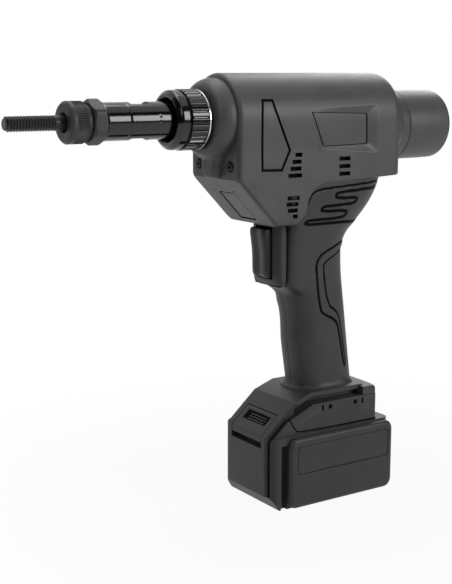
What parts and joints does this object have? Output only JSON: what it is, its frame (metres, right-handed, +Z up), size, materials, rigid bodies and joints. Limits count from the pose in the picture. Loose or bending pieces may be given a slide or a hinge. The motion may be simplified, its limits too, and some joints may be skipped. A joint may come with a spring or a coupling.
{
  "type": "battery rivet nut tool",
  "caption": "hand-held battery tool that sets threaded rivet nuts by pulling a threaded mandrel through an anvil, with pistol grip, fluted nose ring and slide-on battery pack",
  "frame": {"origin": "centre of the flat base of the battery, on the floor", "axes": "X along the nose axis, nose towards -X and rear drum towards +X; Y across the tool, left side -Y; Z up"},
  "size_m": [0.3559, 0.072, 0.3155],
  "materials": {
    "body_plastic": "fine-textured charcoal moulding",
    "inlay_plastic": "smooth charcoal moulding",
    "handle_plastic": "fine-textured black moulding",
    "trigger_plastic": "smooth black moulding",
    "grip_rubber": "soft black overmould",
    "battery_plastic": "fine-textured black moulding",
    "black_steel": "black-oxide screws",
    "phosphated_steel": "dark phosphated steel",
    "mandrel_steel": "black-oxide thread",
    "gloss_black_metal": "polished black finish",
    "bright_steel": "machined steel",
    "alloy": "machined alloy",
    "bronze": "machined bronze",
    "winding_copper": "laminated core with copper windings",
    "magnet": "ferrite",
    "inner_plastic": "plain moulding",
    "circuit_board": "coated board",
    "cell_steel": "sleeved steel cans"
  },
  "bodies": {
    "body": {"housing_left": "body_plastic", "housing_right": "body_plastic", "front_cover": "body_plastic", "front_screws": "black_steel", "housing_screws": "black_steel", "side_panel_left": "inlay_plastic", "side_panel_right": "inlay_plastic", "nameplate_left": "inlay_plastic", "nameplate_right": "inlay_plastic", "diagonal_plate": "inlay_plastic", "nose_tube": "gloss_black_metal", "guide_tube": "bright_steel", "thrust_bearing": "bright_steel", "radial_bearing": "bright_steel", "bearing_carrier": "alloy", "ring_gear": "bright_steel", "motor_can": "bright_steel", "motor_magnets": "magnet", "brush_cap": "inner_plastic", "handle_left": "handle_plastic", "handle_right": "handle_plastic", "grip_strip_left": "grip_rubber", "grip_strip_right": "grip_rubber", "trigger_bezel": "handle_plastic", "trigger_switch": "inner_plastic", "trigger_spring": "bright_steel", "control_board": "circuit_board", "foot": "handle_plastic", "terminal_block": "bronze"},
    "armature": {"armature": "winding_copper", "motor_fan": "inner_plastic"},
    "planet_carrier": {"planet_carrier": "bright_steel"},
    "planet_a": {"planet_gear_a": "bronze"},
    "planet_b": {"planet_gear_b": "bronze"},
    "planet_c": {"planet_gear_c": "bronze"},
    "idler": {"idler_gear": "bright_steel"},
    "drive_nut": {"drive_nut": "bright_steel"},
    "spindle": {"pull_screw": "bright_steel", "crosshead": "bright_steel"},
    "mandrel": {"pull_mandrel": "mandrel_steel", "mandrel_adapter": "bright_steel"},
    "anvil": {"anvil": "phosphated_steel"},
    "lock_nut": {"lock_nut": "phosphated_steel"},
    "locking_ring": {"locking_ring": "gloss_black_metal"},
    "rear_drum": {"rear_drum": "body_plastic"},
    "trigger": {"trigger": "trigger_plastic"},
    "battery": {"battery_case": "battery_plastic", "battery_top": "battery_plastic", "front_panel": "battery_plastic", "side_pad_left": "battery_plastic", "side_pad_right": "battery_plastic", "cells": "cell_steel", "cell_holder": "inner_plastic", "battery_contacts": "bronze", "battery_screws": "black_steel", "latch_spring": "bright_steel"},
    "latch": {"latch_button": "battery_plastic"}
  },
  "joints": [
    {"name": "armature_spin", "type": "hinge", "parent": "body", "child": "armature", "pos_m": [-0.02, 0, 0.2365], "axis": [1, 0, 0], "range_deg": [-1, 3781]},
    {"name": "carrier_spin", "type": "hinge", "parent": "body", "child": "planet_carrier", "pos_m": [-0.062, 0, 0.2365], "axis": [1, 0, 0], "range_deg": [-1, 841]},
    {"name": "planet_a_spin", "type": "hinge", "parent": "planet_carrier", "child": "planet_a", "pos_m": [-0.0555, 0.0108, 0.2365], "axis": [1, 0, 0], "range_deg": [-2353, 1]},
    {"name": "planet_b_spin", "type": "hinge", "parent": "planet_carrier", "child": "planet_b", "pos_m": [-0.0555, -0.0054, 0.24585], "axis": [1, 0, 0], "range_deg": [-2353, 1]},
    {"name": "planet_c_spin", "type": "hinge", "parent": "planet_carrier", "child": "planet_c", "pos_m": [-0.0555, -0.0054, 0.22715], "axis": [1, 0, 0], "range_deg": [-2353, 1]},
    {"name": "idler_spin", "type": "hinge", "parent": "body", "child": "idler", "pos_m": [-0.069, 0, 0.2515], "axis": [1, 0, 0], "range_deg": [-841, 1]},
    {"name": "nut_spin", "type": "hinge", "parent": "body", "child": "drive_nut", "pos_m": [-0.069, 0, 0.284], "axis": [1, 0, 0], "range_deg": [-1, 253]},
    {"name": "pull", "type": "slide", "parent": "body", "child": "spindle", "axis": [1, 0, 0], "range_m": [0, 0.007]},
    {"name": "mandrel_spin", "type": "hinge", "parent": "spindle", "child": "mandrel", "pos_m": [-0.137, 0, 0.284], "axis": [1, 0, 0], "continuous": true},
    {"name": "anvil_turn", "type": "hinge", "parent": "body", "child": "anvil", "pos_m": [-0.2, 0, 0.284], "axis": [1, 0, 0], "continuous": true},
    {"name": "lock_nut_turn", "type": "hinge", "parent": "body", "child": "lock_nut", "pos_m": [-0.1853, 0, 0.284], "axis": [1, 0, 0], "continuous": true},
    {"name": "locking_ring_turn", "type": "hinge", "parent": "body", "child": "locking_ring", "pos_m": [-0.1186, 0, 0.284], "axis": [1, 0, 0], "range_deg": [-360, 0]},
    {"name": "drum_twist", "type": "hinge", "parent": "body", "child": "rear_drum", "pos_m": [0.088, 0, 0.2764], "axis": [1, 0, 0], "range_deg": [0, 45]},
    {"name": "trigger_press", "type": "slide", "parent": "body", "child": "trigger", "axis": [1, 0, 0], "range_m": [0, 0.006], "stiffness_N_per_m": 1500, "springref_m": -0.003, "deforming": ["trigger_spring"]},
    {"name": "battery_slide", "type": "slide", "parent": "body", "child": "battery", "axis": [-1, 0, 0], "range_m": [0, 0.11]},
    {"name": "latch_press", "type": "slide", "parent": "battery", "child": "latch", "axis": [0, 0, -1], "range_m": [0, 0.004], "stiffness_N_per_m": 1500, "springref_m": -0.002, "deforming": ["latch_spring"]}
  ],
  "couplings": [
    {"joint": "armature_spin", "follows": "pull", "rad_per_m": 9424.8},
    {"joint": "carrier_spin", "follows": "pull", "rad_per_m": 2094.4},
    {"joint": "planet_a_spin", "follows": "pull", "rad_per_m": -5864.3},
    {"joint": "planet_b_spin", "follows": "pull", "rad_per_m": -5864.3},
    {"joint": "planet_c_spin", "follows": "pull", "rad_per_m": -5864.3},
    {"joint": "idler_spin", "follows": "pull", "rad_per_m": -2094.4},
    {"joint": "nut_spin", "follows": "pull", "rad_per_m": 628.32}
  ]
}
